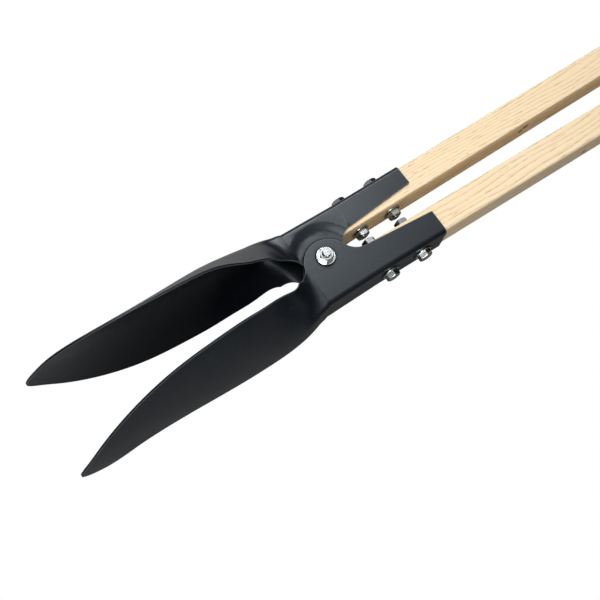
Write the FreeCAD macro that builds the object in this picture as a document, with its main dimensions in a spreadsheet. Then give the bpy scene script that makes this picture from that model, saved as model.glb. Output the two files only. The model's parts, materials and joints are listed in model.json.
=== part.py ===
import FreeCAD, Part
import math
import os

import Sketcher

# Clamshell post-hole digger: two pressed steel blades hinged on one pivot bolt, each folded at
# its top into a socket that holds a rectangular wooden handle.
# Millimetres.  Each half is drawn in its own half frame: origin on the pivot axis, +X up the
# handle, the half itself on the -Y side, +Z towards the nut of the pivot bolt.

PARTS_FOLDER = "parts"
os.makedirs(PARTS_FOLDER, exist_ok=True)
doc = FreeCAD.newDocument("post_hole_digger")

# ---------------------------------------------------------------- driving dimensions
DIMENSIONS = {
    "handle_width": 31.75,       # across the two handles, 1 1/4 in
    "handle_depth": 38.1,        # front to back, 1 1/2 in
    "handle_start": 25.0,        # lower end of the wood above the pivot
    "handle_length": 1219.0,     # 48 in
    "handle_inner": 10.5,        # centre plane to the inner face of a handle
    "arris_round": 2.8,          # the wood's corners inside the socket's folds
    "inner_arris_round": 1.2,    # its corners towards the other handle
    "end_round": 5.0,
    "nose_length": 13.5,         # tapered lower end of the wood
    "nose_depth": 4.3,
    "sheet_thick": 2.5,
    "bend_radius": 5.0,          # outside radius of the socket's folds
    "socket_end": 126.0,
    "ear_gap": 0.25,             # between the two overlapping ears
    "splay_angle": 0.55,         # each handle leans outward by this at rest
    "bolt_first": 55.5,
    "bolt_pitch": 43.0,
    "bolt_diameter": 9.52,       # 3/8 in
    "bore_clearance": 0.16,
    "thread_end": 1.2,           # bolt standing past its nut
    "pivot_thread_end": 2.6,
    "tip_chamfer": 0.8,
    "hex_across": 14.3,          # 9/16 in across flats
    "hex_chamfer_ratio": 0.95,
    "head_height": 6.0,
    "nut_height": 6.7,
    "washer_diameter": 20.6,
    "washer_thick": 1.6,
}

sheet = doc.addObject("Spreadsheet::Sheet", "Dimensions")
for row, (alias, value) in enumerate(DIMENSIONS.items(), start=1):
    sheet.set("A%d" % row, alias)
    sheet.set("B%d" % row, str(value))
    sheet.setAlias("B%d" % row, alias)
doc.recompute()


def size(alias):
    return float(sheet.get(alias))


half_depth = size("handle_depth") / 2
thick = size("sheet_thick")
web_outer = size("handle_inner") + size("handle_width") + thick
flange_outer = half_depth + thick
inner_ear_outer = half_depth - size("ear_gap")

# ---------------------------------------------------------------- placements
FRONT = FreeCAD.Vector(0, 0, 1)
SIDEWAYS = FreeCAD.Vector(1, 0, 0)


def turned(axis, degrees):
    return FreeCAD.Placement(FreeCAD.Vector(), FreeCAD.Rotation(axis, degrees))


def moved(x, y, z):
    return FreeCAD.Placement(FreeCAD.Vector(x, y, z), FreeCAD.Rotation())


HALVES = {
    "right": turned(FRONT, -size("splay_angle")),
    "left": turned(FRONT, size("splay_angle")).multiply(turned(SIDEWAYS, 180)),
}

# ---------------------------------------------------------------- the pressed blade
# Stations down the pressing: x, then the blade's half width and how far outboard its edge and
# its spine lie.  The socket's U changes smoothly into the blade's shallow trough between
# FLARE_START and FLARE_START - FLARE_LENGTH.
FLARE_START = -25.0
FLARE_LENGTH = 45.0
BLADE_STATIONS = [
    # x, half_width, edge, spine, depth of the U's flange edge
    (-34.0, 56.0, 22.0, 49.0, -4.0),
    (-43.0, 55.5, 22.4, 52.3, 8.0),
    (-53.0, 54.5, 22.6, 55.8, 16.0),
    (-63.0, 55.0, 22.9, 58.2, 20.0),
    (-78.0, 61.5, 24.4, 60.0, 22.0),
    (-93.0, 70.5, 27.6, 60.5, 22.0),
    (-113.0, 81.5, 31.0, 60.0, 22.0),
    (-153.0, 86.0, 34.4, 58.5, 22.0),
    (-198.0, 83.0, 38.3, 55.8, 22.0),
    (-238.0, 71.0, 43.7, 54.6, 22.0),
    (-269.0, 55.0, 49.6, 54.8, 22.0),
    (-291.0, 36.5, 54.0, 55.9, 22.0),
    (-304.5, 20.5, 56.2, 56.7, 22.0),
    (-313.0, 9.5, 57.0, 57.15, 22.0),
    (-317.0, 1.2, 57.3, 57.32, 22.0),
]
WEB_SHARE = 0.24                 # how much of each half section is web, then web and fold
FOLD_SHARE = 0.38
FULL_FLANGE_EDGE = -22.0         # flanges are cut to outline afterwards

# The rear flange is dished round the pivot, so that its ear lies inside the other half's.
DISH_FLAT = 28.0                 # radius of the flat floor
DISH_RIM = 39.5                  # radius where the dish meets the flange
DISH_STEPS = 20                  # points across the dished flange
NECK_TOP = 43.0
NECK_STEPS = 20
FLARE_WEB = 46.4                 # the web already leans out to here where the flare starts


def smooth_step(value):
    value = min(max(value, 0.0), 1.0)
    return value * value * (3 - 2 * value)


def dish_depth(x, out):
    """How far the dished rear flange lies inside the flat one."""
    rise = smooth_step((math.hypot(x, out) - DISH_FLAT) / (DISH_RIM - DISH_FLAT))
    return (flange_outer - inner_ear_outer) * (1 - rise)


def channel_point(share, x, web, edge):
    """A point of the folded U: share 0 is mid web, +1 the front flange's edge, -1 the rear's."""
    radius = size("bend_radius")
    half = flange_outer
    sign = 1 if share >= 0 else -1
    part = abs(share)
    if part <= WEB_SHARE:
        return web, sign * (half - radius) * part / WEB_SHARE
    if part <= FOLD_SHARE:
        angle = math.pi / 2 * (part - WEB_SHARE) / (FOLD_SHARE - WEB_SHARE)
        return (web - radius + radius * math.cos(angle),
                sign * (half - radius + radius * math.sin(angle)))
    run = (part - FOLD_SHARE) / (1 - FOLD_SHARE)
    out = web - radius - run * (web - radius - edge)
    if sign < 0:
        half -= dish_depth(x, out)
    return out, sign * half


def section_point(share, station):
    x, half_width, edge, spine, flange_edge = station
    blend = smooth_step((FLARE_START - x) / FLARE_LENGTH)
    u_out, u_z = channel_point(share, x, spine, flange_edge)
    trough_out = spine - (spine - edge) * share * share
    trough_z = half_width * share
    return (u_out + blend * (trough_out - u_out), u_z + blend * (trough_z - u_z))


def inward(share, station):
    """Unit vector from the outer skin to the hollow side."""
    step = 0.01
    low = section_point(max(share - step, -1.0), station)
    high = section_point(min(share + step, 1.0), station)
    along_out, along_z = high[0] - low[0], high[1] - low[1]
    length = math.hypot(along_out, along_z)
    return -along_z / length, along_out / length


BREAKS = [1.0, FOLD_SHARE, WEB_SHARE, -WEB_SHARE, -FOLD_SHARE, -1.0]
SPAN_STEPS = [6, 6, 6, 6, DISH_STEPS]


def skin_edges(station, depth):
    """Edges of the outer skin (depth 0) or the inner one, from front edge to rear edge."""
    x = station[0]

    def place(share):
        out, z = section_point(share, station)
        in_out, in_z = inward(share, station)
        return FreeCAD.Vector(x, -(out + depth * in_out), z + depth * in_z)

    edges = []
    for start, stop, steps in zip(BREAKS, BREAKS[1:], SPAN_STEPS):
        parameters = [i / steps for i in range(steps + 1)]
        curve = Part.BSplineCurve()
        curve.interpolate(Points=[place(start + (stop - start) * at) for at in parameters],
                          Parameters=parameters)
        edges.append(curve.toShape())
    return edges


def fold_edges(x, web_skin, depth):
    """Front flange, fold, web and rear fold of the straight U, as lines and arcs."""
    radius = size("bend_radius") - depth
    web = web_skin - depth
    half = flange_outer - depth
    slant = math.sqrt(0.5) * radius

    def at(out, z):
        return FreeCAD.Vector(x, -out, z)

    corners = [at(FULL_FLANGE_EDGE, half), at(web - radius, half), at(web, half - radius),
               at(web, radius - half), at(web - radius, -half)]
    front_mid = at(web - radius + slant, half - radius + slant)
    rear_mid = at(web - radius + slant, radius - half - slant)
    return [
        Part.makeLine(corners[0], corners[1]),
        Part.Arc(corners[1], front_mid, corners[2]).toShape(),
        Part.makeLine(corners[2], corners[3]),
        Part.Arc(corners[3], rear_mid, corners[4]).toShape(),
    ]


def dished_edge(x, web_skin, depth):
    """The rear flange in section, from its fold to its edge."""
    fold_end = web_skin - size("bend_radius")
    parameters = [i / DISH_STEPS for i in range(DISH_STEPS + 1)]
    points = []
    for at in parameters:
        out = fold_end + (FULL_FLANGE_EDGE - fold_end) * at
        points.append(FreeCAD.Vector(x, -out, dish_depth(x, out) + depth - flange_outer))
    curve = Part.BSplineCurve()
    curve.interpolate(Points=points, Parameters=parameters)
    return curve.toShape()


def plain_edge(x, web_skin, depth):
    z = depth - flange_outer
    fold_end = FreeCAD.Vector(x, size("bend_radius") - web_skin, z)
    return Part.makeLine(fold_end, FreeCAD.Vector(x, -FULL_FLANGE_EDGE, z))


def closed_section(outer, inner):
    first_outer, last_outer = outer[0].Vertexes[0].Point, outer[-1].Vertexes[-1].Point
    first_inner, last_inner = inner[0].Vertexes[0].Point, inner[-1].Vertexes[-1].Point
    edges = outer + [Part.makeLine(last_outer, last_inner)]
    edges += inner[::-1] + [Part.makeLine(first_inner, first_outer)]
    return Part.Wire(Part.__sortEdges__(edges))


def section_of(edges_at):
    """A closed section from a function that gives the skin's edges at a depth."""
    return closed_section(edges_at(0.0), edges_at(thick))


def socket_section(x):
    return section_of(lambda depth: fold_edges(x, web_outer, depth)
                      + [plain_edge(x, web_outer, depth)])


def flare_start_section():
    return section_of(lambda depth: fold_edges(FLARE_START, FLARE_WEB, depth)
                      + [dished_edge(FLARE_START, FLARE_WEB, depth)])


def blade_section(station):
    return section_of(lambda depth: skin_edges(station, depth))


def neck_web(x):
    return web_outer + (FLARE_WEB - web_outer) * (NECK_TOP - x) / (NECK_TOP - FLARE_START)


def neck_solids():
    """The U beside the pivot: its folds and front flange, then its dished rear flange."""
    step = (NECK_TOP - FLARE_START) / NECK_STEPS
    folds = [section_of(lambda depth, x=x: fold_edges(x, neck_web(x), depth))
             for x in (NECK_TOP, FLARE_START)]
    dished = [section_of(lambda depth, x=x: [dished_edge(x, neck_web(x), depth)])
              for x in (NECK_TOP - step * i for i in range(NECK_STEPS + 1))]
    return [Part.makeLoft(folds, True, True), Part.makeLoft(dished, True, False)]


# Outline of a flange and its ear: the flange's straight edge, a hollow curve into the round
# ear, and another into the throat of the blade.  Points are x and distance outboard.
FRONT_OUTLINE = {
    "flange": [(126.0, 16.9), (43.0, 11.2)],
    "to_ear": [(30.6, 6.2), (25.0, -1.0)],
    "ear": [(-0.4, -18.6), (-26.3, 1.0)],
    "throat": [(-31.8, 7.2), (-41.5, 12.6)],
    "blade_side": (-57.0, 17.6),
}
REAR_OUTLINE = {
    "flange": [(126.0, 20.9), (43.0, 14.4)],
    "to_ear": [(31.0, 10.4), (24.5, 0.0)],
    "ear": [(-1.5, -18.2), (-23.2, 2.0)],
    "throat": [(-29.0, 12.4), (-45.5, 17.0)],
    "blade_side": (-58.5, 18.2),
}
TRIM_REACH = 60.0


def trim_tool(outline, z_from, z_to):
    """Everything past a flange's outline, as a block over one side of the pressing."""
    def at(point):
        return FreeCAD.Vector(point[0], -point[1], z_from)

    flange, to_ear, ear, throat = (outline[key] for key in ("flange", "to_ear", "ear", "throat"))
    past_end = (flange[0][0] + 5.0, flange[0][1] + 0.3)
    blade_side = outline["blade_side"]
    corners = [at((past_end[0], -TRIM_REACH)), at(past_end)]
    edges = [
        Part.makeLine(corners[0], corners[1]),
        Part.makeLine(corners[1], at(flange[1])),
        Part.Arc(at(flange[1]), at(to_ear[0]), at(to_ear[1])).toShape(),
        Part.Arc(at(to_ear[1]), at(ear[0]), at(ear[1])).toShape(),
        Part.Arc(at(ear[1]), at(throat[0]), at(throat[1])).toShape(),
        Part.makeLine(at(throat[1]), at(blade_side)),
        Part.makeLine(at(blade_side), at((blade_side[0], -TRIM_REACH))),
        Part.makeLine(at((blade_side[0], -TRIM_REACH)), corners[0]),
    ]
    face = Part.Face(Part.Wire(edges))
    return face.extrude(FreeCAD.Vector(0, 0, z_to - z_from))


def bore(x, y, z, direction, length):
    radius = (size("bolt_diameter") + size("bore_clearance")) / 2
    return Part.makeCylinder(radius, length, FreeCAD.Vector(x, y, z), direction)


def bolt_stations():
    return [size("bolt_first"), size("bolt_first") + size("bolt_pitch")]


def pressing_shape():
    """One blade and socket in its half frame, on the -Y side."""
    sections = [flare_start_section()]
    sections += [blade_section(station) for station in BLADE_STATIONS]
    flare = Part.makeLoft(sections, True, False)
    socket_ends = [socket_section(NECK_TOP), socket_section(size("socket_end"))]
    socket = Part.makeLoft(socket_ends, True, True)
    shape = socket.multiFuse(neck_solids() + [flare])
    reach = 70.0
    shape = shape.cut(trim_tool(FRONT_OUTLINE, 1.0, reach))
    shape = shape.cut(trim_tool(REAR_OUTLINE, -reach, -1.0))
    shape = shape.cut(bore(0, 0, -reach, FRONT, 2 * reach))
    for x in bolt_stations():
        shape = shape.cut(bore(x, -web_outer - reach, 0, FreeCAD.Vector(0, 1, 0), reach + 10))
    return shape.removeSplitter()


def make_pressing(side):
    feature = doc.addObject("Part::Feature", side + "_blade")
    feature.Shape = pressing_shape()
    feature.Placement = HALVES[side]
    return feature


# ---------------------------------------------------------------- wooden handles
def origin_plane(body, role):
    return next(item for item in body.Origin.OriginFeatures if item.Role == role)


def new_sketch(body, name, role):
    sketch = body.newObject("Sketcher::SketchObject", name)
    sketch.AttachmentSupport = (origin_plane(body, role), "")
    sketch.MapMode = "FlatFace"
    return sketch


def drive(sketch, kind, refs, name, value, expression):
    """Adds a named dimension to a sketch and binds it to the sheet."""
    index = sketch.addConstraint(Sketcher.Constraint(kind, *refs, value))
    sketch.renameConstraint(index, name)
    sketch.setExpression("Constraints." + name, expression)


def polygon(sketch, points):
    count = len(points)
    for i, (x, y) in enumerate(points):
        x_next, y_next = points[(i + 1) % count]
        sketch.addGeometry(Part.LineSegment(FreeCAD.Vector(x, y, 0),
                                            FreeCAD.Vector(x_next, y_next, 0)), False)
    for i in range(count):
        sketch.addConstraint(Sketcher.Constraint("Coincident", i, 2, (i + 1) % count, 1))


def side_profile(sketch):
    """The handle seen from the side: square stock with a tapered lower end."""
    low = size("handle_start")
    nose = low + size("nose_length")
    top = low + size("handle_length")
    nose_half = half_depth - size("nose_depth")
    polygon(sketch, [(low, -nose_half), (nose, -half_depth), (top, -half_depth),
                     (top, half_depth), (nose, half_depth), (low, nose_half)])
    for line in (1, 3):
        sketch.addConstraint(Sketcher.Constraint("Horizontal", line))
    for line in (2, 5):
        sketch.addConstraint(Sketcher.Constraint("Symmetric", line, 1, line, 2, -1))
    sketch.addConstraint(Sketcher.Constraint("Vertical", 1, 1, 3, 2))
    drive(sketch, "DistanceX", (-1, 1, 5, 2), "low", low, "Dimensions.handle_start")
    drive(sketch, "DistanceX", (5, 2, 1, 1), "nose", nose - low, "Dimensions.nose_length")
    drive(sketch, "DistanceX", (5, 2, 2, 1), "length", top - low, "Dimensions.handle_length")
    drive(sketch, "DistanceY", (2, 1, 2, 2), "depth", 2 * half_depth,
          "Dimensions.handle_depth")
    drive(sketch, "DistanceY", (5, 2, 5, 1), "nose_depth", 2 * nose_half,
          "Dimensions.handle_depth - 2 * Dimensions.nose_depth")


def hole_pattern(sketch):
    for index, x in enumerate(bolt_stations()):
        sketch.addGeometry(Part.Circle(FreeCAD.Vector(x, 0, 0), FRONT, 4.8), False)
        sketch.addConstraint(Sketcher.Constraint("PointOnObject", index, 3, -1))
        drive(sketch, "Diameter", (index,), "bore%d" % index,
              size("bolt_diameter") + size("bore_clearance"),
              "Dimensions.bolt_diameter + Dimensions.bore_clearance")
    first, second = bolt_stations()
    drive(sketch, "DistanceX", (-1, 1, 0, 3), "first", first, "Dimensions.bolt_first")
    drive(sketch, "DistanceX", (0, 3, 1, 3), "pitch", second - first, "Dimensions.bolt_pitch")


def edge_names(shape, wanted):
    return ["Edge%d" % number for number, edge in enumerate(shape.Edges, start=1) if wanted(edge)]


def along_grain(edge):
    start, end = edge.Vertexes[0].Point, edge.Vertexes[-1].Point
    return abs(start.x - end.x) > size("nose_length") / 2


def outboard(edge):
    return along_grain(edge) and edge.Vertexes[0].Point.y < 0


def inboard(edge):
    return along_grain(edge) and edge.Vertexes[0].Point.y > 0


def make_handle(side):
    body = doc.addObject("PartDesign::Body", side + "_handle")
    profile = new_sketch(body, side + "_handle_profile", "XZ_Plane")
    side_profile(profile)
    pad = body.newObject("PartDesign::Pad", side + "_handle_pad")
    pad.Profile = profile
    pad.Midplane = True
    pad.setExpression("Length", "Dimensions.handle_width")
    doc.recompute()
    holes = new_sketch(body, side + "_handle_holes", "XZ_Plane")
    hole_pattern(holes)
    pocket = body.newObject("PartDesign::Pocket", side + "_handle_bores")
    pocket.Profile = holes
    pocket.Type = 1
    pocket.Midplane = True
    doc.recompute()
    arrises = body.newObject("PartDesign::Fillet", side + "_handle_arrises")
    arrises.Base = (pocket, edge_names(pocket.Shape, outboard))
    arrises.setExpression("Radius", "Dimensions.arris_round")
    doc.recompute()
    inner_arrises = body.newObject("PartDesign::Fillet", side + "_handle_inner_arrises")
    inner_arrises.Base = (arrises, edge_names(arrises.Shape, inboard))
    inner_arrises.setExpression("Radius", "Dimensions.inner_arris_round")
    doc.recompute()
    top = size("handle_start") + size("handle_length")

    def at_top(edge):
        return all(abs(vertex.Point.x - top) < 0.01 for vertex in edge.Vertexes)

    rounded = body.newObject("PartDesign::Fillet", side + "_handle_end")
    rounded.Base = (inner_arrises, edge_names(inner_arrises.Shape, at_top))
    rounded.setExpression("Radius", "Dimensions.end_round")
    middle = size("handle_inner") + size("handle_width") / 2
    body.Placement = HALVES[side].multiply(moved(0, -middle, 0))
    return body


# ---------------------------------------------------------------- fasteners
HEX_CORNER = "Dimensions.hex_across / sqrt(3)"
HEX_FACE_RADIUS = "Dimensions.hex_across / 2 * Dimensions.hex_chamfer_ratio"
CHAMFER_SLOPE = "sqrt(3)"        # a 30 degree chamfer on a hexagon's corners


def primitive(kind, name, values):
    item = doc.addObject("Part::" + kind, name)
    for key, expression in values.items():
        item.setExpression(key, expression)
    return item


def hexagon(name, height, both_ends):
    """A hexagonal block standing on Z = 0 with its upper, or both, rims chamfered."""
    prism = doc.addObject("Part::Prism", name + "_hexagon")
    prism.Polygon = 6
    prism.setExpression("Circumradius", HEX_CORNER)
    prism.setExpression("Height", height)
    wide = "%s + %s * %s" % (HEX_FACE_RADIUS, CHAMFER_SLOPE, height)
    upper = primitive("Cone", name + "_upper_chamfer",
                      {"Radius1": wide, "Radius2": HEX_FACE_RADIUS, "Height": height})
    block = doc.addObject("Part::Common", name + "_block")
    block.Base = prism
    block.Tool = upper
    if not both_ends:
        return block
    lower = primitive("Cone", name + "_lower_chamfer",
                      {"Radius1": HEX_FACE_RADIUS, "Radius2": wide, "Height": height})
    full = doc.addObject("Part::Common", name + "_full_block")
    full.Base = block
    full.Tool = lower
    return full


def make_nut(name, placement):
    block = hexagon(name, "Dimensions.nut_height", True)
    hole = primitive("Cylinder", name + "_bore", {
        "Radius": "(Dimensions.bolt_diameter + Dimensions.bore_clearance) / 2",
        "Height": "Dimensions.nut_height"})
    nut = doc.addObject("Part::Cut", name)
    nut.Base = block
    nut.Tool = hole
    nut.Placement = placement
    return nut


def make_bolt(name, shank, placement):
    """Head below Z = 0 and shank above it; shank is an expression for its whole length."""
    head = hexagon(name, "Dimensions.head_height", False)
    head.Placement = turned(SIDEWAYS, 180)
    straight = primitive("Cylinder", name + "_shank", {
        "Radius": "Dimensions.bolt_diameter / 2",
        "Height": "%s - Dimensions.tip_chamfer" % shank})
    tip = primitive("Cone", name + "_tip", {
        "Radius1": "Dimensions.bolt_diameter / 2",
        "Radius2": "Dimensions.bolt_diameter / 2 - Dimensions.tip_chamfer",
        "Height": "Dimensions.tip_chamfer",
        "Placement.Base.z": "%s - Dimensions.tip_chamfer" % shank})
    bolt = doc.addObject("Part::MultiFuse", name)
    bolt.Shapes = [head, straight, tip]
    bolt.Placement = placement
    return bolt


def make_washer(name, placement):
    body = doc.addObject("PartDesign::Body", name)
    rings = new_sketch(body, name + "_rings", "XY_Plane")
    bore_width = size("bolt_diameter") + size("bore_clearance")
    for index, width in enumerate((size("washer_diameter"), bore_width)):
        rings.addGeometry(Part.Circle(FreeCAD.Vector(), FRONT, width / 2), False)
        rings.addConstraint(Sketcher.Constraint("Coincident", index, 3, -1, 1))
    drive(rings, "Diameter", (0,), "rim", size("washer_diameter"), "Dimensions.washer_diameter")
    drive(rings, "Diameter", (1,), "bore", bore_width,
          "Dimensions.bolt_diameter + Dimensions.bore_clearance")
    pad = body.newObject("PartDesign::Pad", name + "_pad")
    pad.Profile = rings
    pad.setExpression("Length", "Dimensions.washer_thick")
    body.Placement = placement
    return body


HANDLE_SHANK = ("(2 * Dimensions.washer_thick + Dimensions.sheet_thick + Dimensions.handle_width"
                " + Dimensions.nut_height + Dimensions.thread_end)")
PIVOT_SHANK = ("(2 * Dimensions.washer_thick + Dimensions.handle_depth"
               " + 2 * Dimensions.sheet_thick + Dimensions.nut_height"
               " + Dimensions.pivot_thread_end)")


def make_handle_fasteners(side):
    """Two bolts through web and wood, with a washer under each head and each nut."""
    washer = size("washer_thick")
    inner = size("handle_inner")
    nodes = []
    for level, x in zip(("lower", "upper"), bolt_stations()):
        label = "%s_%s" % (side, level)

        def seat(y):
            inboard = turned(SIDEWAYS, -90)
            return HALVES[side].multiply(moved(x, y, 0)).multiply(inboard)

        nodes.append(make_bolt(label + "_bolt", HANDLE_SHANK, seat(-web_outer - washer)))
        nodes.append(make_washer(label + "_head_washer", seat(-web_outer - washer)))
        nodes.append(make_washer(label + "_nut_washer", seat(-inner)))
        nodes.append(make_nut(label + "_nut", seat(washer - inner)))
    return nodes


def make_pivot():
    washer = size("washer_thick")
    return [
        make_bolt("pivot_bolt", PIVOT_SHANK, moved(0, 0, -flange_outer - washer)),
        make_washer("pivot_head_washer", moved(0, 0, -flange_outer - washer)),
        make_washer("pivot_nut_washer", moved(0, 0, flange_outer)),
        make_nut("pivot_nut", moved(0, 0, flange_outer + washer)),
    ]


# ---------------------------------------------------------------- assembly
def recompute_and_check():
    doc.recompute()
    for item in doc.Objects:
        if "Invalid" in item.State or "Error" in item.State:
            raise RuntimeError("%s did not recompute: %s" % (item.Label, item.State))


nodes = make_pivot()
for side in HALVES:
    nodes.append(make_pressing(side))
    nodes.append(make_handle(side))
    nodes += make_handle_fasteners(side)
recompute_and_check()

# The part's frame: origin under the middle of its box, on the surface it lies on.
whole = FreeCAD.BoundBox()
for node in nodes:
    whole.add(node.Shape.optimalBoundingBox(False))
shift = moved(-(whole.XMin + whole.XMax) / 2, -(whole.YMin + whole.YMax) / 2, -whole.ZMin)
for node in nodes:
    node.Placement = shift.multiply(node.Placement)
recompute_and_check()

for node in nodes:
    if node.Shape.isNull() or not node.Shape.isValid() or not node.Shape.Solids:
        raise RuntimeError("%s has no valid solid" % node.Label)
    node.Shape.exportStep(os.path.join(PARTS_FOLDER, node.Label + ".step"))
    print("%-26s solids %d  volume %.0f mm3" % (node.Label, len(node.Shape.Solids),
                                                node.Shape.Volume))
print("pivot axis at", shift.Base, "box", whole)
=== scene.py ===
import json
import math

import bpy
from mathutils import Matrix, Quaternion, Vector


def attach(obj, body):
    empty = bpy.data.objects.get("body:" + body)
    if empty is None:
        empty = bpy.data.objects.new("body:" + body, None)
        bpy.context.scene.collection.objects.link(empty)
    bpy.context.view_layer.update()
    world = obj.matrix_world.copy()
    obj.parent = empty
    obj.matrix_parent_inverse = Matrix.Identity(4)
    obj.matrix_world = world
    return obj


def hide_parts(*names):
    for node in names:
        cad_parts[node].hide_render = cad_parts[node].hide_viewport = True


# A clamshell post-hole digger: satin black blades, pale ash handles, zinc-plated hardware.
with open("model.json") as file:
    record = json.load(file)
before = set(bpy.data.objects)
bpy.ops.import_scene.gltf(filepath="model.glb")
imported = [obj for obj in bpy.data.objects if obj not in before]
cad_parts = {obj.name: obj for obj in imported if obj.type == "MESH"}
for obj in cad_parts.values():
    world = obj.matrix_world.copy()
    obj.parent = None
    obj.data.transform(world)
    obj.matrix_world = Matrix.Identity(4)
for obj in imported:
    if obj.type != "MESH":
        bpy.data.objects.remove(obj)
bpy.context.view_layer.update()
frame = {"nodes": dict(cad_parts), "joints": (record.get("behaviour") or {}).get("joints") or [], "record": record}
nodes = frame["nodes"]
pivot = Vector(frame["joints"][0]["pos_m"])

MM = 0.001
MASK_SAMPLES = 8                 # rays that a crevice or edge mask is measured with


# ---------------------------------------------------------------- node helpers
class Shader:
    """A small builder for one node material."""

    def __init__(self, name):
        self.material = bpy.data.materials.new(name)
        self.material.use_nodes = True
        self.tree = self.material.node_tree
        self.tree.nodes.clear()
        self.output = self.tree.nodes.new("ShaderNodeOutputMaterial")

    def add(self, kind, inputs=None, **settings):
        node = self.tree.nodes.new("ShaderNode" + kind)
        for key, value in settings.items():
            setattr(node, key, value)
        for key, value in (inputs or {}).items():
            self.plug(node, key, value)
        return node

    def plug(self, node, key, value):
        socket = node.inputs[key]
        if isinstance(value, bpy.types.NodeSocket):
            self.tree.links.new(value, socket)
        elif isinstance(value, bpy.types.Node):
            self.tree.links.new(value.outputs[0], socket)
        else:
            socket.default_value = value

    def position(self, stretch=(1, 1, 1), offset=(0, 0, 0)):
        """The piece's own coordinates, which ride with it: metres times stretch, plus offset."""
        coordinates = self.add("TexCoord").outputs["Object"]
        return self.add("Mapping", {"Vector": coordinates, "Scale": stretch,
                                    "Location": offset})

    def noise(self, vector, scale, detail, rough=0.5):
        return self.add("TexNoise", {"Vector": vector, "Scale": scale, "Detail": detail,
                                     "Roughness": rough, "Distortion": 0.0}).outputs["Fac"]

    def math(self, operation, first, second):
        return self.add("Math", {0: first, 1: second}, operation=operation).outputs[0]

    def ramp(self, value, stops):
        """Maps a number to colours or greys through (position, colour) stops."""
        node = self.add("ValToRGB", {"Fac": value})
        node.color_ramp.interpolation = "EASE"
        elements = node.color_ramp.elements
        while len(elements) < len(stops):
            elements.new(0.5)
        for element, (place, colour) in zip(elements, stops):
            element.position = place
            if not isinstance(colour, tuple):
                colour = (colour, colour, colour)
            element.color = (*colour, 1.0)
        return node.outputs["Color"]

    def mix(self, factor, first, second):
        node = self.add("Mix", data_type="RGBA")
        for socket, value in ((node.inputs[0], factor), (node.inputs[6], first),
                              (node.inputs[7], second)):
            if isinstance(value, bpy.types.NodeSocket):
                self.tree.links.new(value, socket)
            elif isinstance(value, tuple):
                socket.default_value = (*value, 1.0)
            else:
                socket.default_value = value
        return node.outputs[2]

    def bump(self, height, distance, strength, normal=None):
        inputs = {"Height": height, "Distance": distance, "Strength": strength}
        if normal is not None:
            inputs["Normal"] = normal
        return self.add("Bump", inputs).outputs["Normal"]

    def crevice(self, reach, stops):
        """Where another surface stands within reach, as a mask shaped by stops."""
        near = self.add("AmbientOcclusion", {"Distance": reach}, samples=MASK_SAMPLES)
        return self.ramp(near.outputs["AO"], stops)

    def edge_highlight_mask(self, width, stops):
        """The sheet's own outer corners, as a mask shaped by stops."""
        near = self.add("AmbientOcclusion", {"Distance": width}, samples=MASK_SAMPLES,
                        inside=True, only_local=True)
        return self.ramp(near.outputs["AO"], stops)

    def spot(self, centre, size):
        """A soft-edged ellipsoid round a place on the piece, as a mask."""
        coordinates = self.add("TexCoord").outputs["Object"]
        away = self.add("VectorMath", {0: coordinates, 1: centre}, operation="SUBTRACT")
        scaled = self.add("VectorMath", {0: away, 1: size}, operation="DIVIDE")
        reach = self.add("VectorMath", {0: scaled}, operation="LENGTH").outputs["Value"]
        return self.ramp(reach, [(0.45, 1.0), (1.0, 0.0)])

    def finish(self, **inputs):
        principled = self.add("BsdfPrincipled")
        for key, value in inputs.items():
            if isinstance(value, tuple):
                value = (*value, 1.0)
            self.plug(principled, key.replace("_", " "), value)
        self.tree.links.new(principled.outputs[0], self.output.inputs["Surface"])
        return self.material


def dress(node_names, material):
    for name in node_names:
        slots = nodes[name].data.materials
        slots.clear()
        slots.append(material)


# ---------------------------------------------------------------- materials
# Painted shade where parts stand close together: how far it reaches, and the dark colour it lays on the paint.
CREVICE_REACH = 5.0 * MM
PAINTED_CREVICE_SHADE = (0.0008, 0.0009, 0.0011)
# Painted highlight along the sheet's outer edges: its width, and the lighter colour it lays on the paint.
EDGE_HIGHLIGHT_WIDTH = 1.0 * MM
PAINTED_EDGE_HIGHLIGHT = (0.10, 0.11, 0.12)
PAINT_BLACK = (0.0016, 0.0026, 0.0044)
PAINT_SCUFF = (0.035, 0.038, 0.044)
PAINT_SPECK = (0.06, 0.06, 0.062)
PAINT_SHEEN = (0.84, 0.92, 1.0)
PAINT_HAZE = (0.0032, 0.0052, 0.0088)
WOOD_PALE = (0.86, 0.70, 0.47)
WOOD_MID = (0.80, 0.62, 0.39)
WOOD_LIGHT = (0.93, 0.82, 0.62)
WOOD_RING = (0.58, 0.32, 0.13)
WOOD_FIBRE = (0.62, 0.45, 0.27)
WOOD_PORE = (0.30, 0.15, 0.06)
WOOD_DASH = (0.50, 0.22, 0.10)
WOOD_KNOT = (0.035, 0.016, 0.007)
# Pin knots: where each is centred and how far it spreads along x, y and z, in mm.
RIGHT_KNOTS = [((-128.5, -45.5, 81.1), (4.5, 3.0, 3.0))]
LEFT_KNOTS = [
    ((-171.5, 13.3, 90.0), (6.0, 3.0, 3.4)),
    ((-177.5, 13.3, 85.3), (3.6, 3.0, 4.0)),
]
ZINC_BRIGHT = (0.56, 0.585, 0.60)
ZINC_CLOUD = (0.38, 0.39, 0.38)
ZINC_GRIME = (0.24, 0.235, 0.21)


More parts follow.
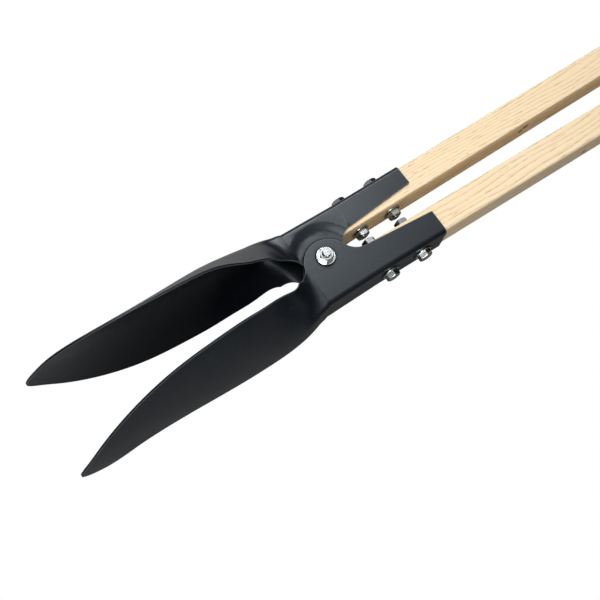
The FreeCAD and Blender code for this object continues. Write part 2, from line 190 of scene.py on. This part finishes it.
def painted_steel(name):
    """Satin black enamel on rolled sheet: orange peel, a painted highlight on the outer edges and painted shade in
    the corners.
    """
    shade = Shader(name)
    place = shade.position()
    broad = shade.noise(place, 14.0, 4.0, 0.55)
    scuffs = shade.noise(shade.position(stretch=(0.25, 1, 1)), 260.0, 6.0, 0.65)
    specks = shade.noise(place, 520.0, 3.0, 0.6)
    peel = shade.noise(place, 700.0, 2.0, 0.5)
    ripple = shade.noise(place, 22.0, 2.0, 0.5)
    scuff_mask = shade.ramp(scuffs, [(0.58, 0.0), (0.74, 1.0)])
    speck_mask = shade.ramp(specks, [(0.66, 0.0), (0.72, 1.0)])
    colour = shade.mix(broad, PAINT_BLACK, PAINT_HAZE)
    colour = shade.mix(shade.math("MULTIPLY", scuff_mask, 0.35), colour, PAINT_SCUFF)
    colour = shade.mix(shade.math("MULTIPLY", speck_mask, 0.25), colour, PAINT_SPECK)
    rough = shade.add("MapRange", {"Value": broad, "From Min": 0.3, "From Max": 0.7,
                                   "To Min": 0.30, "To Max": 0.38})
    rough = shade.math("ADD", rough.outputs[0], shade.math("MULTIPLY", scuff_mask, 0.08))
    normal = shade.bump(ripple, 0.0007, 0.35)
    normal = shade.bump(peel, 0.00006, 0.6, normal)
    # Painted shade: where another surface stands close, the colour is darkened, the roughness raised and the gloss
    # lowered, a painted contact shadow.
    crevice_shade_mask = shade.crevice(CREVICE_REACH, [(0.60, 1.0), (0.97, 0.0)])
    colour = shade.mix(shade.math("MULTIPLY", crevice_shade_mask, 0.9), colour, PAINTED_CREVICE_SHADE)
    rough = shade.math("ADD", rough, shade.math("MULTIPLY", crevice_shade_mask, 0.3))
    # Painted highlight: a lighter colour along the sheet's convex outer edges.
    edge_highlight = shade.edge_highlight_mask(EDGE_HIGHLIGHT_WIDTH, [(0.62, 1.0), (0.86, 0.0)])
    colour = shade.mix(shade.math("MULTIPLY", edge_highlight, 0.8), colour, PAINTED_EDGE_HIGHLIGHT)
    # The painted crevice shade also dims the reflection here.
    gloss = shade.math("SUBTRACT", 0.5, shade.math("MULTIPLY", crevice_shade_mask, 0.46))
    return shade.finish(Base_Color=colour, Roughness=rough, Normal=normal,
                        Specular_IOR_Level=gloss, Specular_Tint=PAINT_SHEEN)


def ash_wood(name, seed, knots):
    """Pale straight-grained ash: long rings, and rows of short dark pores beside each ring."""
    shade = Shader(name)
    drift = shade.noise(shade.position(stretch=(1.6, 9, 9), offset=(seed, 0, 0)), 2.2, 2.0)
    place = shade.position(offset=(0, 0.055 + 0.02 * seed, -0.03))
    axes = shade.add("SeparateXYZ", {"Vector": place.outputs[0]})
    across = shade.math("ADD", shade.math("POWER", axes.outputs[1], 2.0),
                        shade.math("POWER", axes.outputs[2], 2.0))
    radius = shade.math("SQRT", across, 0.0)
    wavy = shade.math("ADD", radius, shade.math("MULTIPLY", drift, 0.03))
    phase = shade.math("FRACT", shade.math("MULTIPLY", wavy, 300.0), 0.0)
    ring = shade.ramp(phase, [(0.0, 1.0), (0.12, 0.4), (0.4, 0.05), (0.93, 0.0), (1.0, 1.0)])
    fibre = shade.noise(shade.position(stretch=(0.02, 1, 1)), 1100.0, 4.0, 0.75)
    streak = shade.noise(shade.position(stretch=(0.012, 1, 1), offset=(0, seed, 0)), 200.0, 3.0)
    pores = shade.noise(shade.position(stretch=(0.07, 1, 1)), 950.0, 3.0, 0.6)
    pore_mask = shade.math("MULTIPLY", shade.ramp(pores, [(0.53, 0.0), (0.62, 1.0)]), ring)
    flecks = shade.noise(shade.position(stretch=(0.11, 1, 1)), 520.0, 2.0, 0.5)
    fleck_mask = shade.ramp(flecks, [(0.66, 0.0), (0.72, 1.0)])
    tone = shade.noise(shade.position(stretch=(0.5, 1, 1), offset=(seed, 0, 0)), 9.0, 3.0)
    colour = shade.mix(tone, WOOD_PALE, WOOD_MID)
    colour = shade.mix(shade.math("MULTIPLY", ring, 0.62), colour, WOOD_RING)
    colour = shade.mix(shade.math("MULTIPLY", streak, 0.35), colour, WOOD_LIGHT)
    colour = shade.mix(shade.math("MULTIPLY", fibre, 0.30), colour, WOOD_FIBRE)
    colour = shade.mix(shade.math("MULTIPLY", pore_mask, 0.75), colour, WOOD_PORE)
    colour = shade.mix(shade.math("MULTIPLY", fleck_mask, 0.6), colour, WOOD_DASH)
    for centre, size in knots:
        knot = shade.spot(Vector(centre) * MM, Vector(size) * MM)
        colour = shade.mix(shade.math("MULTIPLY", knot, 0.95), colour, WOOD_KNOT)
    height = shade.math("SUBTRACT", fibre, shade.math("MULTIPLY", pore_mask, 0.8))
    normal = shade.bump(height, 0.00014, 0.5)
    rough = shade.add("MapRange", {"Value": fibre, "To Min": 0.48, "To Max": 0.68})
    return shade.finish(Base_Color=colour, Roughness=rough.outputs[0], Normal=normal,
                        Specular_IOR_Level=0.3)


def zinc_plate():
    """Zinc plate with faint tumbling marks, a cool cloudy tone and some grime."""
    shade = Shader("zinc_plate")
    place = shade.position()
    cloud = shade.noise(place, 260.0, 4.0, 0.6)
    marks = shade.noise(place, 1500.0, 5.0, 0.7)
    grime = shade.ramp(shade.noise(place, 90.0, 5.0, 0.65), [(0.52, 0.0), (0.78, 1.0)])
    colour = shade.mix(cloud, ZINC_BRIGHT, ZINC_CLOUD)
    colour = shade.mix(shade.math("MULTIPLY", grime, 0.6), colour, ZINC_GRIME)
    rough = shade.add("MapRange", {"Value": marks, "From Min": 0.3, "From Max": 0.7,
                                   "To Min": 0.09, "To Max": 0.19})
    normal = shade.bump(marks, 0.00005, 0.12)
    return shade.finish(Base_Color=colour, Metallic=1.0, Roughness=rough.outputs[0],
                        Normal=normal)


paint = painted_steel("satin_black_paint")
zinc = zinc_plate()
dress(["right_blade", "left_blade"], paint)
dress(["right_handle"], ash_wood("ash_right", 0.7, RIGHT_KNOTS))
dress(["left_handle"], ash_wood("ash_left", 2.3, LEFT_KNOTS))
FASTENER_WORDS = ("bolt", "nut", "washer")
fasteners = [name for name in nodes if any(word in name for word in FASTENER_WORDS)]
dress(fasteners, zinc)


# ---------------------------------------------------------------- threaded bolts
HEX_ACROSS = 14.3 * MM
HEX_FACE = 0.95 * HEX_ACROSS / 2          # radius of the flat on a chamfered hexagon
HEAD_HEIGHT = 6.0 * MM
BOLT_RADIUS = 4.76 * MM
TIP_CHAMFER = 0.8 * MM
THREAD_PITCH = 25.4 / 16 * MM             # 3/8-16
THREAD_DEPTH = 0.85 * MM
THREAD_LENGTH = 13.0 * MM
CHAMFER_DEPTHS = [0.0, 0.2 * MM, 0.5 * MM, 0.9 * MM, 1.4 * MM]
BOLT_SIDES = 60
ROWS_PER_TURN = 8
BOLT_CREASE = math.radians(25)


def hexagon_radius(angle):
    sixth = math.pi / 3
    return HEX_ACROSS / 2 / math.cos((angle + sixth / 2) % sixth - sixth / 2)


def head_radius(angle, depth):
    """A hexagon whose corners are cut back by a 30 degree chamfer round its outer face."""
    return min(hexagon_radius(angle), HEX_FACE + depth * math.sqrt(3))


def thread_radius(angle, place, length):
    from_tip = length - place
    if from_tip > THREAD_LENGTH:
        return BOLT_RADIUS
    phase = (place / THREAD_PITCH - angle / (2 * math.pi)) % 1.0
    valley = max(0.0, 1.0 - abs(phase - 0.5) / 0.4)
    run_out = min(1.0, (THREAD_LENGTH - from_tip) / THREAD_PITCH)
    radius = BOLT_RADIUS - THREAD_DEPTH * valley * run_out
    return min(radius, BOLT_RADIUS - TIP_CHAMFER + from_tip)


def bolt_rows(length):
    """Each row is a place along the bolt and a function from angle to radius."""
    rows = []
    for depth in (*CHAMFER_DEPTHS, HEAD_HEIGHT):
        rows.append((depth, lambda angle, depth=depth: head_radius(angle, depth)))
    place = HEAD_HEIGHT
    while place < length:
        rows.append((place, lambda angle, place=place: thread_radius(angle, place, length)))
        threaded = length - place <= THREAD_LENGTH + THREAD_PITCH
        place += THREAD_PITCH / ROWS_PER_TURN if threaded else THREAD_PITCH
    rows.append((length, lambda angle: thread_radius(angle, length, length)))
    return rows


def bolt_frame(name):
    """The bolt's head centre, its direction and length, from its CAD node."""
    if name == "pivot_bolt":
        along = Vector((0, 0, 1))
        side = Vector((1, 0, 0))
    else:
        half = name.split("_")[0]
        mounts = frame["record"]["mounts"]
        side = Vector(next(m["axis"] for m in mounts if m["name"] == half + "_handle_end"))
        along = Vector((0, 0, 1)).cross(side) * (1 if half == "right" else -1)
    other = along.cross(side)
    points = [vertex.co for vertex in nodes[name].data.vertices]

    def span(axis):
        values = [point.dot(axis) for point in points]
        return min(values), max(values)

    low, high = span(along)
    head = side * (sum(span(side)) / 2) + other * (sum(span(other)) / 2) + along * low
    return head, along, side, other, high - low


def threaded_bolt(name):
    head, along, side, other, length = bolt_frame(name)
    rows = bolt_rows(length)
    turns = [2 * math.pi * i / BOLT_SIDES for i in range(BOLT_SIDES)]
    points = []
    for place, radius_at in rows:
        for angle in turns:
            spoke = side * math.cos(angle) + other * math.sin(angle)
            points.append(head + along * place + spoke * radius_at(angle))
    faces = [list(range(BOLT_SIDES))[::-1]]
    for row in range(len(rows) - 1):
        for i in range(BOLT_SIDES):
            after = (i + 1) % BOLT_SIDES
            low, high = row * BOLT_SIDES, (row + 1) * BOLT_SIDES
            faces.append([low + i, low + after, high + after, high + i])
    last = (len(rows) - 1) * BOLT_SIDES
    faces.append([last + i for i in range(BOLT_SIDES)])
    mesh = bpy.data.meshes.new(name + "_threaded")
    mesh.from_pydata(points, [], faces)
    mesh.shade_smooth()
    mesh.set_sharp_from_angle(angle=BOLT_CREASE)
    piece = bpy.data.objects.new(name + "_threaded", mesh)
    bpy.context.scene.collection.objects.link(piece)
    mesh.materials.append(zinc)
    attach(piece, "left_half" if name.startswith("left") else "right_half")
    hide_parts(name)


bolts = [name for name in fasteners if name.endswith("bolt")]
for name in bolts:
    threaded_bolt(name)


# ---------------------------------------------------------------- worn edges
WELD_REACH = 0.002 * MM
SHARP_ANGLE = math.radians(38)
HARDWARE_EDGE = 0.35 * MM
SHEET_EDGE = 0.7 * MM


def soften_edges(name, width):
    """Takes the knife edge off a CAD node without touching its mesh."""
    piece = nodes[name]
    weld = piece.modifiers.new("join_corners", "WELD")
    weld.merge_threshold = WELD_REACH
    bevel = piece.modifiers.new("broken_edges", "BEVEL")
    bevel.width = width
    bevel.segments = 2
    bevel.limit_method = "ANGLE"
    bevel.angle_limit = SHARP_ANGLE
    bevel.use_clamp_overlap = True
    even = piece.modifiers.new("flat_faces_stay_flat", "WEIGHTED_NORMAL")
    even.keep_sharp = True


for name in fasteners:
    if name not in bolts:
        soften_edges(name, HARDWARE_EDGE)
for name in ("right_blade", "left_blade"):
    soften_edges(name, SHEET_EDGE)


# ---------------------------------------------------------------- camera
CAMERA_ELEVATION = 69.1
CAMERA_AZIMUTH = 222.6           # degrees round +Z from +X, where the camera stands
CAMERA_ROLL = 13.66
CAMERA_DISTANCE = 0.9063
CAMERA_LENS = 52.64
CAMERA_SENSOR = 36.0
AIM_OFFSET = Vector((-43.5, -19.4, 0.0)) * MM


def add_camera():
    data = bpy.data.cameras.new("camera")
    data.lens = CAMERA_LENS
    data.sensor_width = CAMERA_SENSOR
    data.clip_start = 10 * MM
    camera = bpy.data.objects.new("camera", data)
    bpy.context.scene.collection.objects.link(camera)
    elevation = math.radians(CAMERA_ELEVATION)
    azimuth = math.radians(CAMERA_AZIMUTH)
    towards = Vector((math.cos(elevation) * math.cos(azimuth),
                      math.cos(elevation) * math.sin(azimuth), math.sin(elevation)))
    camera.location = pivot + AIM_OFFSET + towards * CAMERA_DISTANCE
    turn = towards.to_track_quat("Z", "Y")
    camera.rotation_mode = "QUATERNION"
    camera.rotation_quaternion = turn @ Quaternion((0, 0, 1), math.radians(CAMERA_ROLL))
    bpy.context.scene.camera = camera


# ---------------------------------------------------------------- stage and light
FLOOR_HALF = 3.0
FLOOR_LEVEL = -0.4 * MM
FLOOR_GREY = 0.22                # the paper's own colour, as the tool sees it
FLOOR_GLOW = 0.8                 # how bright it is far behind the tool, as the tool sees it
GLOW_STARTS, GLOW_FULL = 0.05, 0.5
# Height of a direction above the horizon (its sine), and how bright the room is there.
CEILING = [(0.0, 0.02), (0.30, 0.03), (0.60, 0.16), (0.88, 0.50), (1.0, 0.62)]
CEILING_TINT = (0.97, 0.99, 1.0)


def add_floor():
    """White to the camera, grey to the tool and brighter behind it, clear from below."""
    half, level = FLOOR_HALF, FLOOR_LEVEL
    mesh = bpy.data.meshes.new("floor")
    mesh.from_pydata([(-half, -half, level), (half, -half, level), (half, half, level),
                      (-half, half, level)], [], [(0, 1, 2, 3)])
    floor = bpy.data.objects.new("floor", mesh)
    bpy.context.scene.collection.objects.link(floor)
    shade = Shader("pale_floor")
    seen = shade.add("LightPath").outputs["Is Camera Ray"]
    bright = shade.add("Emission", {"Color": (1, 1, 1, 1), "Strength": 1.0})
    dim = shade.add("BsdfDiffuse", {"Color": (FLOOR_GREY, FLOOR_GREY, FLOOR_GREY, 1)})
    axes = shade.add("SeparateXYZ", {"Vector": shade.add("TexCoord").outputs["Object"]})
    far_side = shade.add("MapRange", {"Value": axes.outputs[1], "From Min": GLOW_STARTS,
                                      "From Max": GLOW_FULL, "To Max": FLOOR_GLOW})
    glow = shade.add("Emission", {"Strength": far_side.outputs[0]})
    lit = shade.add("AddShader", {0: dim.outputs[0], 1: glow.outputs[0]})
    mixed = shade.add("MixShader", {0: seen, 1: lit.outputs[0], 2: bright.outputs[0]})
    below = shade.add("NewGeometry").outputs["Backfacing"]
    clear = shade.add("BsdfTransparent")
    one_sided = shade.add("MixShader", {0: below, 1: mixed.outputs[0], 2: clear.outputs[0]})
    shade.tree.links.new(one_sided.outputs[0], shade.output.inputs["Surface"])
    mesh.materials.append(shade.material)


# Each lamp's place from the pivot it points at, its width and height, and its watts.
SOFTBOXES = [
    ("key", (0.42, 1.0, 1.5), 0.9, 0.8, 21.0),
    ("top", (-0.45, -0.1, 1.2), 0.6, 0.6, 8.0),
    ("side", (-0.55, -1.25, 0.42), 0.8, 0.4, 6.0),
]


def add_softbox(name, offset, width, height, watts):
    data = bpy.data.lights.new(name, "AREA")
    data.shape = "RECTANGLE"
    data.size = width
    data.size_y = height
    data.energy = watts
    lamp = bpy.data.objects.new(name, data)
    bpy.context.scene.collection.objects.link(lamp)
    lamp.location = pivot + offset
    lamp.rotation_mode = "QUATERNION"
    lamp.rotation_quaternion = offset.to_track_quat("Z", "Y")


def add_world():
    """White to the camera; to the object a pale ceiling above dark walls."""
    world = bpy.data.worlds.new("studio")
    world.use_nodes = True
    tree = world.node_tree
    tree.nodes.clear()
    seen = tree.nodes.new("ShaderNodeLightPath")
    bright = tree.nodes.new("ShaderNodeBackground")
    bright.inputs["Color"].default_value = (1, 1, 1, 1)
    direction = tree.nodes.new("ShaderNodeTexCoord")
    split = tree.nodes.new("ShaderNodeSeparateXYZ")
    ceiling = tree.nodes.new("ShaderNodeValToRGB")
    elements = ceiling.color_ramp.elements
    while len(elements) < len(CEILING):
        elements.new(0.5)
    for element, (height, grey) in zip(elements, CEILING):
        element.position = height
        element.color = (*(grey * part for part in CEILING_TINT), 1.0)
    dim = tree.nodes.new("ShaderNodeBackground")
    mixed = tree.nodes.new("ShaderNodeMixShader")
    output = tree.nodes.new("ShaderNodeOutputWorld")
    tree.links.new(direction.outputs["Generated"], split.inputs[0])
    tree.links.new(split.outputs["Z"], ceiling.inputs["Fac"])
    tree.links.new(ceiling.outputs["Color"], dim.inputs["Color"])
    tree.links.new(seen.outputs["Is Camera Ray"], mixed.inputs[0])
    tree.links.new(dim.outputs[0], mixed.inputs[1])
    tree.links.new(bright.outputs[0], mixed.inputs[2])
    tree.links.new(mixed.outputs[0], output.inputs["Surface"])
    bpy.context.scene.world = world


add_camera()
add_floor()
add_world()
for lamp, offset, width, height, watts in SOFTBOXES:
    add_softbox(lamp, Vector(offset), width, height, watts)
bpy.context.scene.view_settings.view_transform = "Standard"
